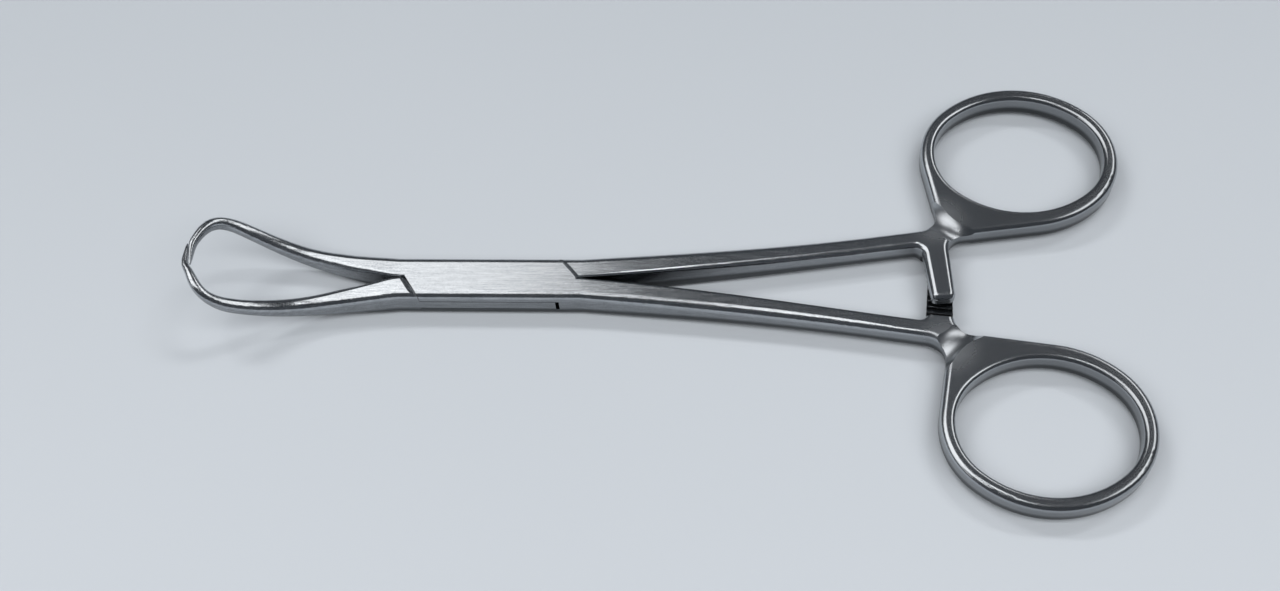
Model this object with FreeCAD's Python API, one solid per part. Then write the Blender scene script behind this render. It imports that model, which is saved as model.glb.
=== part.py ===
import FreeCAD, Part
import math
import os

V = FreeCAD.Vector

# Towel clamp: a box-lock instrument with two finger rings, a ratchet and
# two pointed jaws that bow apart, rise and meet side by side at the tips.
# Millimetres.  X runs from the jaw tips (-) to the rings (+), Z is up, and
# the origin is on the pivot axis at the flat underside of the box lock.

# Box lock: the block that holds the pivot
box_width = 6.5
box_height = 4.9
box_edge_radius = 0.95
plate_left_reach = 11.3
plate_right_reach = 12.75
plate_left_angle = 56.0
plate_right_angle = 50.0
half_gap = 0.07
inner_edge_radius = 0.35

# Tongue of the one arm and the slot for it in the other
tongue_thickness = 1.7
tongue_radius = 10.45
slot_face_gap = 0.1
slot_end_gap = 0.48
arm_end_overlap = 3.0
shoulder_gap = 0.05
shoulder_lean = 0.08
shoulder_bevel_depth = 0.42
shoulder_left_bevel = 0.8
shoulder_right_bevel = 0.5

# Pivot pin
pin_radius = 1.2
pin_running_gap = 0.04

# Jaws: a bow outward, a rise above the box and a taper to the point
jaw_root_x = -12.0
jaw_reach = 40.47
jaw_bow = 6.25
jaw_rise = 7.9
jaw_edge_radius = 1.0
jaw_round_run = 12.0
jaw_roundness = 0.47
# Tips, past each other along a slanting line: the box arm's runs inside
tip_gap = 0.16
tip_slant = 0.2
tip_overlap = 1.65
tip_inner_width = 1.05
tip_outer_width = 0.88
tip_height = 1.32
# Share of the overlap past the meeting point, width and height there
tip_rows = ((0.0, 0.56, 1.0), (0.5, 0.36, 0.74), (1.0, 0.12, 0.32))
# Along the jaw: shares of its reach, bow and rise, and of the root's size
jaw_rows = (
    (0.045, 0.03, 0.0, 0.98, 0.99),
    (0.12, 0.11, 0.001, 0.91, 0.925),
    (0.236, 0.225, 0.01, 0.82, 0.805),
    (0.368, 0.38, 0.036, 0.725, 0.705),
    (0.51, 0.575, 0.114, 0.635, 0.59),
    (0.64, 0.775, 0.276, 0.595, 0.505),
    (0.757, 0.945, 0.495, 0.56, 0.445),
    (0.841, 1.006, 0.7, 0.485, 0.41),
    (0.912, 0.846, 0.9, 0.445, 0.37),
    (0.96, 0.461, 0.993, 0.41, 0.325),
)

# Shanks
shank_root_x = 13.5
shank_end_x = 56.5
shank_slope = 0.081
shank_bend = 0.00078
shank_width = 2.62
shank_bow_radius = 0.2

# Handle end: finger ring, neck and ratchet bar
handle_thickness = 3.6
handle_edge_radius = 0.85
ring_x = 75.65
ring_y = 21.5
ring_length = 28.0
ring_breadth = 24.3
ring_end_radius = 10.9
ring_stock = 2.0
ring_crescent = 0.45
ring_hole_shift = 0.2
ring_hole_edge_radius = 0.7
neck_angle = 190.0
neck_radius = 2.9
flare_angle = 278.0
flare_radius = 2.5
neck_from_ring = 16.8
neck_bearing = 229.0
neck_dip = 0.6
neck_dip_radius = 2.6
neck_crown_radius = 5.5
bar_x = 60.95
bar_width = 3.65
bar_tip_width = 3.3
bar_slant = 6.0
bar_root_y = 5.3
bar_length = 8.1
bar_corner_radius = 0.9
bar_web_radius = 1.1
tooth_pitch = 0.95
tooth_depth = 0.38
tooth_gap = 0.12
tooth_fill = 0.96
tooth_count = 7

# How far a cutting shape runs past the stock
over = 1.0

mid = box_height / 2.0
half_width = box_width / 2.0
root_width = half_width - half_gap
root_y = half_gap + root_width / 2.0


def section(centre, outward, upward, size, radii):
    """Rounded rectangle of width and height; radii are outer, inner."""
    hw = size[0] / 2.0
    hh = size[1] / 2.0
    corners = ((1, 1, radii[0]), (-1, 1, radii[1]), (-1, -1, radii[1]), (1, -1, radii[0]))
    ring = []
    for i, (su, sv, r) in enumerate(corners):
        first = (su * hw, sv * (hh - r))
        last = (su * (hw - r), sv * hh)
        k = r * (1.0 - math.sqrt(0.5))
        middle = (su * (hw - k), sv * (hh - k))
        if i % 2:
            first, last = last, first
        ring.append((first, middle, last))
    ring = [[centre + outward * p[0] + upward * p[1] for p in bend] for bend in ring]
    edges = []
    for i, bend in enumerate(ring):
        edges.append(Part.Arc(*bend).toShape())
        edges.append(Part.makeLine(bend[2], ring[(i + 1) % 4][0]))
    return Part.Wire(edges)


def polygon(points, z_low, z_high):
    """Upright prism on a closed polygon."""
    loop = [V(x, y, z_low) for x, y in points]
    loop.append(loop[0])
    return Part.Face(Part.makePolygon(loop)).extrude(V(0, 0, z_high - z_low))


def half_prism(x_low, x_high):
    """Straight run of one half of the box width, on the +Y side."""
    wire = section(V(x_low, root_y, mid), V(0, 1, 0), V(0, 0, 1), (root_width, box_height),
                   (box_edge_radius, inner_edge_radius))
    return Part.Face(wire).extrude(V(x_high - x_low, 0, 0))


def mirrored(shape):
    return shape.mirror(V(0, 0, 0), V(0, 1, 0))


def turned_over(shape):
    """Half a turn about the long axis at mid height."""
    turned = shape.copy()
    turned.rotate(V(0, 0, mid), V(1, 0, 0), 180)
    return turned


def jaw_stations(side):
    """Centre, width, height along one jaw; side -1 keeps the point on the
    inner side of the meeting line and +1 puts it on the outer side."""
    span = -jaw_reach - jaw_root_x
    stations = [(V(jaw_root_x, root_y, mid), root_width, box_height)]
    for reach, bow, rise, w, h in jaw_rows:
        centre = V(jaw_root_x + span * reach, root_y + (jaw_bow - root_y) * bow, mid + jaw_rise * rise)
        stations.append((centre, root_width * w, box_height * h))
    lap = tip_inner_width if side < 0 else tip_outer_width
    for share, width, height in ((-1.0, lap, tip_height),) + tip_rows:
        y = -share * tip_overlap
        meeting = jaw_reach - side * tip_slant * y
        radius = meeting + side * (tip_gap + width) / 2.0
        stations.append((V(-math.sqrt(radius ** 2 - y ** 2), y, mid + jaw_rise), width, height))
    return stations


def jaw(side):
    """Jaw on the +Y side, tapered along a curve in space."""
    stations = jaw_stations(side)
    path = Part.BSplineCurve()
    path.interpolate([s[0] for s in stations])
    wires = []
    for i, (centre, width, height) in enumerate(stations):
        along = path.tangent(path.parameter(centre))[0]
        if i == 0:
            along = V(-1, 0, 0)
        outward = V(0, 0, -1).cross(along).normalize()
        upward = along.cross(outward) * -1.0
        fade = min(1.0, (centre - stations[0][0]).Length / jaw_round_run)
        limit = jaw_roundness * min(width, height)
        outer = min(box_edge_radius + (jaw_edge_radius - box_edge_radius) * fade, limit)
        inner = min(inner_edge_radius + (jaw_edge_radius - inner_edge_radius) * fade, limit)
        wires.append(section(centre, outward, upward, (width, height), (outer, inner)))
    return Part.makeLoft(wires, True, False)


def shank_frame(x):
    """Centre, tangent and outward normal of the shank line on the +Y side."""
    run = x - shank_root_x
    y = root_y + shank_slope * run + shank_bend * run ** 2
    slope = shank_slope + 2.0 * shank_bend * run
    along = V(1, slope, 0).normalize()
    return V(x, y, mid), along, V(-along.y, along.x, 0)


def shank():
    """Shank on the +Y side, from the box lock to the handle end."""
    wires = []
    steps = 6
    for i in range(steps + 1):
        part = i / steps
        x = shank_root_x + (shank_end_x - shank_root_x) * part
        centre, along, outward = shank_frame(x)
        if i == 0:
            outward = V(0, 1, 0)
        fade = (1.0 - part) ** 2 * (1.0 + 2.0 * part)
        width = shank_width + (root_width - shank_width) * fade
        height = handle_thickness + (box_height - handle_thickness) * fade
        bow = shank_bow_radius * math.sin(math.pi * part)
        outer = handle_edge_radius + (box_edge_radius - handle_edge_radius) * (1.0 - part) + bow
        inner = handle_edge_radius + (inner_edge_radius - handle_edge_radius) * (1.0 - part)
        wires.append(section(centre, outward, V(0, 0, 1), (width, height), (outer, inner)))
    return Part.makeLoft(wires, True, False)


def polar(centre, radius, degrees):
    angle = math.radians(degrees)
    return centre + V(radius * math.cos(angle), radius * math.sin(angle), 0)


def arc(centre, radius, start, stop):
    """Arc anticlockwise from one angle to the other, in degrees."""
    ends = [polar(centre, radius, a) for a in (start, (start + stop) / 2.0, stop)]
    return Part.Arc(*ends).toShape()


def oval(centre, half_length, half_breadth, end_radius, start=None, stop=None):
    """Oval of four arcs; start and stop leave it open at the lower left."""
    offset = half_length - end_radius
    side_radius = (offset ** 2 + half_breadth ** 2 - end_radius ** 2) / (2.0 * (half_breadth - end_radius))
    drop = side_radius - half_breadth
    meet = math.degrees(math.atan2(drop, offset))
    low = centre + V(0, drop, 0)
    high = centre - V(0, drop, 0)
    right = centre + V(offset, 0, 0)
    left = centre - V(offset, 0, 0)
    first = 180.0 + meet if start is None else start
    last = 180.0 + meet if stop is None else stop
    return [
        arc(low, side_radius, first, 360.0 - meet),
        arc(right, end_radius, -meet, meet),
        arc(high, side_radius, meet, 180.0 - meet),
        arc(left, end_radius, 180.0 - meet, last),
    ]


def crossing(p, d, q, e):
    """Point where the line from p along d meets the line from q along e."""
    cross = d.x * e.y - d.y * e.x
    gap = q - p
    return p + d * ((gap.x * e.y - gap.y * e.x) / cross)


def rounded_chain(points, radii):
    """Straight runs through the points, with an arc at each inner one."""
    edges = []
    here = points[0]
    for i, radius in enumerate(radii):
        corner = points[i + 1]
        back = (points[i] - corner).normalize()
        ahead = (points[i + 2] - corner).normalize()
        half = back.getAngle(ahead) / 2.0
        reach = radius / math.tan(half)
        start = corner + back * reach
        stop = corner + ahead * reach
        middle = corner + (back + ahead).normalize() * (radius / math.sin(half) - radius)
        edges.append(Part.makeLine(here, start))
        edges.append(Part.Arc(start, middle, stop).toShape())
        here = stop
    edges.append(Part.makeLine(here, points[-1]))
    return edges


def bar_frame():
    """Direction down the ratchet bar, direction across it, start point."""
    slant = math.radians(bar_slant)
    down = V(math.sin(slant), -math.cos(slant), 0)
    side = V(math.cos(slant), math.sin(slant), 0)
    return down, side, V(bar_x, bar_root_y, 0)


def handle_outline():
    """Closed outline of shank end, neck, ring and ratchet bar at z = 0."""
    centre, along, outward = shank_frame(shank_end_x)
    centre.z = 0
    top = centre + outward * (shank_width / 2.0)
    low = centre - outward * (shank_width / 2.0)
    middle = V(ring_x, ring_y, 0)
    edges = oval(middle, ring_length / 2.0, ring_breadth / 2.0, ring_end_radius, flare_angle, neck_angle)
    flare = edges[0].Vertexes[0].Point
    neck = edges[-1].Vertexes[-1].Point
    corner = crossing(neck, polar(V(), 1.0, neck_angle + 90.0), top, along)
    edges += rounded_chain([neck, corner, top], [neck_radius])
    edges.append(Part.makeLine(top, low))
    down, side, root = bar_frame()
    tip = root + down * bar_length
    tip_end = tip + side * bar_tip_width
    web = crossing(low, along, root, down)
    back = tip_end - root - side * bar_width
    wing = crossing(flare, polar(V(), 1.0, flare_angle - 90.0), tip_end, back)
    radii = [bar_web_radius, bar_corner_radius, bar_corner_radius, flare_radius]
    edges += rounded_chain([low, web, tip, tip_end, wing, flare], radii)
    return Part.Wire(Part.__sortEdges__(edges))


def rim_edges(solid, keep):
    """Flat-lying edges whose middle, seen from above, keep(point) wants."""
    found = []
    for edge in solid.Edges:
        middle = edge.valueAt((edge.FirstParameter + edge.LastParameter) / 2.0)
        if edge.BoundBox.ZLength < 1e-6 and keep(V(middle.x, middle.y, 0)):
            found.append(edge)
    return found


def handle():
    """Shank end, neck, ring and bar on the +Y side; bar in the upper half."""
    low = mid - handle_thickness / 2.0
    high = mid + handle_thickness / 2.0
    body = Part.Face(handle_outline()).extrude(V(0, 0, handle_thickness))
    body.translate(V(0, 0, low))
    joint = shank_frame(shank_end_x)[0]
    joint.z = 0
    outside = rim_edges(body, lambda p: (p - joint).Length > shank_width / 4.0)
    body = body.makeFillet(handle_edge_radius, outside)
    body = body.cut(finger_hole(low))
    down, side, root = bar_frame()
    face = mid + tooth_gap / 2.0
    a = root - side * over
    b = root + side * (bar_width + over)
    far = down * (bar_length + over)
    body = body.cut(polygon([(p.x, p.y) for p in (a, b, b + far, a + far)], low - over, face))
    for tool in tooth_spaces(face):
        body = body.cut(tool)
    return neck_waist(body)


def neck_waist(body):
    """Draw the neck in above and below, crowned across and dipped along."""
    away = polar(V(), 1.0, neck_bearing)
    tube = neck_crown_radius + neck_dip_radius
    sink = neck_crown_radius + neck_dip - handle_thickness / 2.0
    for way in (1.0, -1.0):
        centre = V(ring_x, ring_y, mid - way * sink) + away * neck_from_ring
        body = body.cut(Part.makeTorus(tube, neck_dip_radius, centre, away))
    return body


def finger_hole(low):
    """Oval hole whose rims flare out by the edge radius."""
    centre = V(ring_x, ring_y + ring_hole_shift, low)
    stock = ring_stock + ring_crescent / 2.0
    edges = oval(centre, ring_length / 2.0 - ring_stock, ring_breadth / 2.0 - stock, ring_end_radius - stock)
    hole = Part.Face(Part.Wire(edges)).extrude(V(0, 0, handle_thickness))
    r = ring_hole_edge_radius
    half = handle_thickness / 2.0
    start = centre + V(0, -(ring_breadth / 2.0 - stock), 0)
    for way in (1.0, -1.0):
        rim = start + V(0, 0, half - way * half)
        down = V(0, 0, way * r)
        out = V(0, -r, 0)
        curve = Part.Arc(rim + out, rim + (down + out) * (1.0 - math.sqrt(0.5)), rim + down).toShape()
        profile = Part.Wire([curve, Part.makeLine(rim + down, rim), Part.makeLine(rim, rim + out)])
        hole = hole.fuse(Part.Wire(edges).makePipeShell([profile], True, True))
    return hole


def tooth_spaces(face):
    """Saw-tooth spaces cut across the facing side of the bar.  The steep
    sides face the root, so that the teeth hold the rings together."""
    down, side, root = bar_frame()
    tools = []
    for i in range(tooth_count):
        along = bar_length - bar_corner_radius - (i + 1) * tooth_pitch
        crest = root + down * along - side * over
        steep = crest + down * (tooth_pitch * tooth_fill)
        points = [V(crest.x, crest.y, face - over), V(crest.x, crest.y, face)]
        points += [V(steep.x, steep.y, face + tooth_depth), V(steep.x, steep.y, face - over)]
        wire = Part.makePolygon(points + points[:1])
        tools.append(Part.Face(wire).extrude(side * (bar_width + 2.0 * over)))
    return tools


def female_block():
    """Box lock plates and the straight roots of jaw and shank."""
    left = -plate_left_reach
    right = plate_right_reach
    size = (box_width, box_height)
    wire = section(V(left, 0, mid), V(0, 1, 0), V(0, 0, 1), size, (box_edge_radius, box_edge_radius))
    block = Part.Face(wire).extrude(V(right - left, 0, 0))
    ends = ((-1.0, plate_left_reach, plate_left_angle), (1.0, plate_right_reach, plate_right_angle))
    for side, reach, angle in ends:
        near = side * reach
        gap = -side * half_gap
        out = side * (half_width + over)
        run = out / math.tan(math.radians(angle))
        wedge = [(near + side * over, gap), (near, gap), (near - run, out), (near + side * over, out)]
        block = block.cut(polygon(wedge, -over, box_height + over))
    block = block.fuse(half_prism(jaw_root_x, left))
    return block.fuse(mirrored(half_prism(right, shank_root_x)))


def slot():
    """Room for the tongue: a disc and the two ways out."""
    low = mid - tongue_thickness / 2.0 - slot_face_gap
    deep = tongue_thickness + 2.0 * slot_face_gap
    room = Part.makeCylinder(tongue_radius + slot_end_gap, deep, V(0, 0, low))
    out = half_width + over
    left = polygon([(-jaw_reach, half_gap), (0, half_gap), (0, -out), (-jaw_reach, -out)], low, low + deep)
    return room.fuse(left).fuse(turned_plan(left))


def turned_plan(shape):
    turned = shape.copy()
    turned.rotate(V(0, 0, 0), V(0, 0, 1), 180)
    return turned


def arm_ends():
    """Straight roots of the tongue arm with their sloped shoulders."""
    inner = tongue_radius - arm_end_overlap
    left = mirrored(half_prism(jaw_root_x, -inner))
    right = half_prism(inner, shank_root_x)
    left = shouldered(left, plate_left_reach, plate_left_angle, shoulder_left_bevel, -1.0)
    right = shouldered(right, plate_right_reach, plate_right_angle, shoulder_right_bevel, 1.0)
    return left, right


def shouldered(root, reach, angle, bevel, side):
    """Cut the wedges above and below the tongue from one straight root."""
    level = tongue_thickness / 2.0
    rise = box_height / 2.0 - level
    out = half_width + over
    run = out / math.tan(math.radians(angle))
    knee = rise - shoulder_bevel_depth
    far = shoulder_lean + bevel * (1.0 + over / shoulder_bevel_depth)
    stages = ((0.0, 0.0), (knee, shoulder_lean), (rise + over, far))
    for way in (1.0, -1.0):
        faces = []
        for height, lean in stages:
            z = mid + way * (level + height)
            x = reach + shoulder_gap + lean
            loop = [V(side * (x + run), -side * out, z), V(side * (x - run), side * out, z)]
            loop += [V(0, side * out, z), V(0, -side * out, z)]
            faces.append(Part.makePolygon(loop + loop[:1]))
        root = root.cut(Part.makeLoft(faces, True, True))
    return root


def tongue():
    """Flat middle of the tongue arm with the pivot hole."""
    low = mid - tongue_thickness / 2.0
    disc = Part.makeCylinder(tongue_radius, tongue_thickness, V(0, 0, low))
    corner = V(-2.0 * tongue_radius, -half_width, low)
    band = Part.makeBox(4.0 * tongue_radius, box_width, tongue_thickness, corner)
    return disc.common(band)


def smooth(shape):
    return shape.removeSplitter()


def box_arm():
    body = female_block().cut(slot())
    body = body.fuse(jaw(-1))
    body = body.fuse(mirrored(shank()))
    body = body.fuse(turned_over(handle()))
    body = body.cut(Part.makeCylinder(pin_radius, box_height, V(0, 0, 0)))
    return smooth(body)


def tongue_arm():
    left, right = arm_ends()
    body = tongue().fuse(left).fuse(right)
    body = body.fuse(mirrored(jaw(1)))
    body = body.fuse(shank())
    body = body.fuse(handle())
    body = body.cut(Part.makeCylinder(pin_radius + pin_running_gap, box_height, V(0, 0, 0)))
    return smooth(body)


def pivot_pin():
    return Part.makeCylinder(pin_radius, box_height, V(0, 0, 0))


os.makedirs("parts", exist_ok=True)
box_arm().exportStep("parts/box_arm.step")
tongue_arm().exportStep("parts/tongue_arm.step")
pivot_pin().exportStep("parts/pivot_pin.step")
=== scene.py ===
import math

import bpy
from mathutils import Matrix, Vector

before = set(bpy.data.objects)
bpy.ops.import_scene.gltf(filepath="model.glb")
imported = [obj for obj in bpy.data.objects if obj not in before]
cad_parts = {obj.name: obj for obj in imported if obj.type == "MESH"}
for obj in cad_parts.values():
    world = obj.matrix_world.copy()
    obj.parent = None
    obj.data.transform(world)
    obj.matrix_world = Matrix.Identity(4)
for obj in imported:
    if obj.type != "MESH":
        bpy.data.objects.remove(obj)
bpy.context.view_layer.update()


# Box arm: one stainless forging with the box lock, the upper-left jaw, the
# lower shank, the lower ratchet bar and the lower finger ring.  It is ground
# along its length and satin finished, with softly broken edges.
class Socket:
    """A shader socket that takes part in plain arithmetic."""

    def __init__(self, nodes, output):
        self.nodes = nodes
        self.output = output

    def math(self, operation, *values):
        return self.nodes.add("ShaderNodeMath", {"operation": operation}, dict(enumerate(values)))

    def __add__(self, other):
        return self.math("ADD", self, other)

    def __sub__(self, other):
        return self.math("SUBTRACT", self, other)

    def __mul__(self, other):
        return self.math("MULTIPLY", self, other)

    def __rsub__(self, other):
        return self.math("SUBTRACT", other, self)

    __radd__ = __add__
    __rmul__ = __mul__


class Finish:
    """A node material; add() makes any node from type, settings and sockets."""

    def __init__(self, name):
        self.material = bpy.data.materials.new(name)
        self.material.use_nodes = True
        self.tree = self.material.node_tree
        self.tree.nodes.clear()

    def add(self, kind, settings=None, values=None, output=0):
        node = self.tree.nodes.new(kind)
        for key, value in (settings or {}).items():
            setattr(node, key, value)
        for key, value in (values or {}).items():
            if isinstance(value, Socket):
                self.tree.links.new(value.output, node.inputs[key])
            else:
                node.inputs[key].default_value = value
        return Socket(self, node.outputs[output])

    def surface(self, shader):
        out = self.tree.nodes.new("ShaderNodeOutputMaterial")
        self.tree.links.new(shader.output, out.inputs["Surface"])
        return self.material


def axis(finish, vector, name):
    """One coordinate of a vector, by its letter."""
    return finish.add("ShaderNodeSeparateXYZ", {}, {0: vector}, output=name)


def fade(finish, value, start, end, first=0.0, last=1.0):
    """Goes evenly from first to last while the value goes from start to end."""
    return finish.add("ShaderNodeMapRange", {}, {0: value, 1: start, 2: end, 3: first, 4: last})


def noise(finish, place, scale, detail, roughness=0.5):
    """Noise with so many features to the metre, in steps of halved size."""
    return finish.add("ShaderNodeTexNoise", {}, {
        "Vector": place, "Scale": scale, "Detail": detail, "Roughness": roughness})


def blend(finish, share, first, second):
    """The first colour where the share is 0 and the second where it is 1."""
    return finish.add("ShaderNodeMix", {"data_type": "RGBA"}, {0: share, 6: first, 7: second}, output=2)


# Brightness of the ground steel between its darkest and lightest grains, and
# how strongly they differ: most on the box, which has the coarsest grinding,
# and least on the rings.
steel_dark = (0.28, 0.295, 0.31, 1.0)
steel_light = (0.60, 0.62, 0.64, 1.0)
box_contrast = 3.1
ring_contrast = 0.8
box_end = 0.012
ring_start = 0.062

# Grinding lines, patches and grain, in features to the metre along the stock,
# across it and through it.
lines_scale = (190, 5200, 5200)
patches_scale = (420, 2600, 2600)
grain_scale = 5200.0
lines_share = 0.35
patches_share = 0.4
grain_share = 0.25
roughness_swing = 0.1
scratch_lines_share = 0.7
scratch_strength = 0.06
scratch_depth = 0.00001

# Finger rings: centre of the upper one, which the lower one mirrors, the mean
# radius of the stock's centre line, and painted shade that darkens their colour
# for the dark room their tops mirror.
ring_centre = (0.07565, 0.0215, 0.0)
ring_mean_radius = 0.013
ring_join = 0.002
ring_painted_darkness = 0.80
ring_painted_darkness_end = 0.072

# Painted shade: flanks and lower edges are darker than the top in the colour
# itself, for the dark floor and crevice they mirror; flanks by the slope of
# their surface, lower edges by their height over the underside, which lies
# higher on the handles than on the box.
flank_slopes = (-0.3, 0.4)
painted_flank_darkness = 0.42
edge_heights = (0.0013, 0.0019)
painted_edge_darkness = 0.28
handle_start = 0.03
handle_underside = 0.00065

# Necks: the hollow between shank and ring is blended by hand, so it is duller.
neck_centre = (0.0634, 0.0102, 0.004)
neck_radii = (0.0015, 0.005)
neck_dullness = 0.13


def along_stock(steel, place, folded, run, height):
    """Coordinates that run along the stock: straight, and round each ring."""
    offset = steel.add("ShaderNodeVectorMath", {"operation": "SUBTRACT"}, {0: folded, 1: ring_centre})
    flat = steel.add("ShaderNodeVectorMath", {"operation": "MULTIPLY"}, {0: offset, 1: (1, 1, 0)})
    radius = steel.add("ShaderNodeVectorMath", {"operation": "LENGTH"}, {0: flat}, output="Value")
    across = axis(steel, offset, "Y")
    turn = across.math("ARCTAN2", across, axis(steel, offset, "X")) * ring_mean_radius
    round_ring = steel.add("ShaderNodeCombineXYZ", {}, {0: turn, 1: radius, 2: height})
    at_ring = fade(steel, run, ring_start, ring_start + ring_join)
    return steel.add("ShaderNodeMix", {"data_type": "VECTOR"}, {
        0: at_ring, 4: place, 5: round_ring}, output=1)


def satin_steel(name, roughness):
    """Ground steel: lines along the stock, painted shade on flanks, lower edges and rings, dull necks.
    """
    steel = Finish(name)
    place = steel.add("ShaderNodeTexCoord", output="Object")
    folded = steel.add("ShaderNodeVectorMath", {"operation": "ABSOLUTE"}, {0: place})
    run = axis(steel, place, "X")
    height = axis(steel, place, "Z")

    course = along_stock(steel, place, folded, run, height)
    lines = steel.add("ShaderNodeMapping", {}, {0: course, "Scale": lines_scale})
    grind = noise(steel, lines, scale=1.0, detail=3.0, roughness=0.6)
    patches = steel.add("ShaderNodeMapping", {}, {0: course, "Scale": patches_scale})
    mottle = noise(steel, patches, scale=1.0, detail=5.0, roughness=0.7)
    grain = noise(steel, place, grain_scale, detail=2.0)
    contrast = fade(steel, run, box_end, ring_start, box_contrast, ring_contrast)
    mixed = mottle * patches_share + grind * lines_share + grain * grain_share
    shade = 0.5 + (mixed - 0.5) * contrast

    # Painted shade: the colour darkens on sloping flanks and near the lower edges.
    normal = steel.add("ShaderNodeNewGeometry", output="Normal")
    painted_flank_shade = fade(steel, axis(steel, normal, "Z"), *flank_slopes, painted_flank_darkness, 1.0)
    underside = fade(steel, run, box_end, handle_start, 0.0, handle_underside)
    painted_edge_shade = fade(steel, height - underside, *edge_heights, painted_edge_darkness, 1.0)
    # Painted shade: the rings' colour is darkened.
    ring = fade(steel, run, ring_start, ring_painted_darkness_end, 1.0, ring_painted_darkness)
    colour = steel.add("ShaderNodeVectorMath", {"operation": "SCALE"}, {
        0: blend(steel, shade, steel_dark, steel_light), "Scale": painted_flank_shade * painted_edge_shade * ring})

    from_neck = steel.add("ShaderNodeVectorMath", {"operation": "DISTANCE"}, {
        0: folded, 1: neck_centre}, output="Value")
    neck = fade(steel, from_neck, *neck_radii, neck_dullness, 0.0)
    rough = roughness + neck + (shade - 0.5) * roughness_swing
    scratches = grind * scratch_lines_share + grain * (1 - scratch_lines_share)
    bump = steel.add("ShaderNodeBump", {}, {
        "Height": scratches, "Strength": scratch_strength, "Distance": scratch_depth})
    return steel.surface(steel.add("ShaderNodeBsdfPrincipled", {}, {
        "Base Color": colour, "Metallic": 1.0, "Roughness": rough, "Normal": bump}))


def dress(node, material):
    """Give a node of the frame its finish."""
    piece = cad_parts[node]
    piece.data.materials.clear()
    piece.data.materials.append(material)


dress("box_arm", satin_steel("box_arm_steel", roughness=0.22))


# Tongue arm: the second forging, with the tongue that passes through the box
# lock, the lower-left jaw, the upper shank, the upper bar and the upper ring.
# It has the same satin finish, ground a little smoother.
dress("tongue_arm", satin_steel("tongue_arm_steel", roughness=0.21))


# Pivot pin: steel, pressed through the box lock, peened and ground flush with
# it on both faces, so it hardly shows.
dress("pivot_pin", satin_steel("pivot_pin_steel", roughness=0.22))


# Floor: a plain pale painted board under the clamp, with a faint cloudiness,
# and painted shade that makes it a little darker towards the back.  The clamp
# lies on it loose.
floor_size = 6.0
floor_drop = 0.00002
floor_near = (0.61, 0.645, 0.685, 1.0)
floor_far = (0.485, 0.520, 0.555, 1.0)
back_shade_from = -0.04
back_shade_to = 0.10
cloud_scale = 9.0
cloud_share = 0.2
bpy.ops.object.select_all(action="DESELECT")
bpy.ops.mesh.primitive_plane_add(size=floor_size, location=(0, 0, -floor_drop))
floor = bpy.context.object
floor.name = "floor"
board = Finish("pale_board")
spot = board.add("ShaderNodeTexCoord", output="Object")
cloud = noise(board, spot, cloud_scale, detail=2.0)
# Painted shade: the board's colour goes darker towards the back.
painted_back_shade = fade(board, axis(board, spot, "Y"), back_shade_from, back_shade_to)
tint = blend(board, painted_back_shade * (1 - cloud_share) + cloud * cloud_share, floor_near, floor_far)
floor.data.materials.append(board.surface(board.add("ShaderNodeBsdfPrincipled", {}, {
    "Base Color": tint, "Roughness": 0.6, "Specular IOR Level": 0.2})))


# Light: soft ceiling panels, of which four show only as reflections.  The left
# one ends in line with the box lock, so the box and the jaw roots mirror it
# and the handles do not.  The strip lights the shank's front edge and the necks.
ceiling = 1.0


def panel(name, left, right, front, rear, level, mirrored=True):
    """Even ceiling lamp that faces down; it shows in gloss only, or lights matt only."""
    lamp = bpy.data.lights.new(name, "AREA")
    lamp.shape = "RECTANGLE"
    lamp.size = right - left
    lamp.size_y = rear - front
    lamp.energy = level * math.pi * lamp.size * lamp.size_y
    holder = bpy.data.objects.new(name, lamp)
    bpy.context.scene.collection.objects.link(holder)
    holder.location = ((left + right) / 2, (front + rear) / 2, ceiling)
    holder.visible_camera = False
    holder.visible_glossy = mirrored
    holder.visible_diffuse = not mirrored


panel("left_panel", -1.5, -0.104, -0.4, 0.8, 1.9)
panel("far_left_panel", -2.2, -1.5, -1.3, 0.2, 1.5)
panel("right_panel", 0.58, 1.15, -0.3, 1.7, 2.0)
panel("overhead_strip", 0.02, 0.11, -0.25, 0.12, 4.4)

# The floor has lamps of its own: two keys behind the clamp, narrow from front
# to back so that its shadow has a crisp front edge, and a broad fill in front.
panel("left_key", -0.9, -0.35, 0.47, 0.63, 16.0, mirrored=False)
panel("right_key", 0.3, 0.8, 0.42, 0.58, 11.5, mirrored=False)
panel("front_fill", -1.2, 1.2, -0.8, -0.05, 2.85, mirrored=False)

room_colour = (0.084, 0.092, 0.103, 1.0)
world = bpy.data.worlds.new("room")
world.use_nodes = True
world.node_tree.nodes["Background"].inputs["Color"].default_value = room_colour
bpy.context.scene.world = world


# Camera: above the front, a little to the right, as in the photograph, with
# its focal length in pixels of the picture's full width.
sensor_width = 36.0
picture_width = 1280.0
focal_length = 1500.0
camera_data = bpy.data.cameras.new("camera")
camera_data.sensor_width = sensor_width
camera_data.lens = sensor_width * focal_length / picture_width
camera_data.clip_start = 0.01
camera_data.clip_end = 20.0
camera = bpy.data.objects.new("camera", camera_data)
bpy.context.scene.collection.objects.link(camera)
camera_place = (0.03473, -0.10869, 0.18171)
right = Vector((0.99803, 0.03711, -0.05057))
up = Vector((-0.00588, 0.85806, 0.51352))
back = Vector((0.06245, -0.51221, 0.85659))
turned = Matrix((right, up, back)).transposed().to_4x4()
camera.matrix_world = Matrix.Translation(camera_place) @ turned
bpy.context.scene.camera = camera
bpy.context.scene.view_settings.view_transform = "Standard"
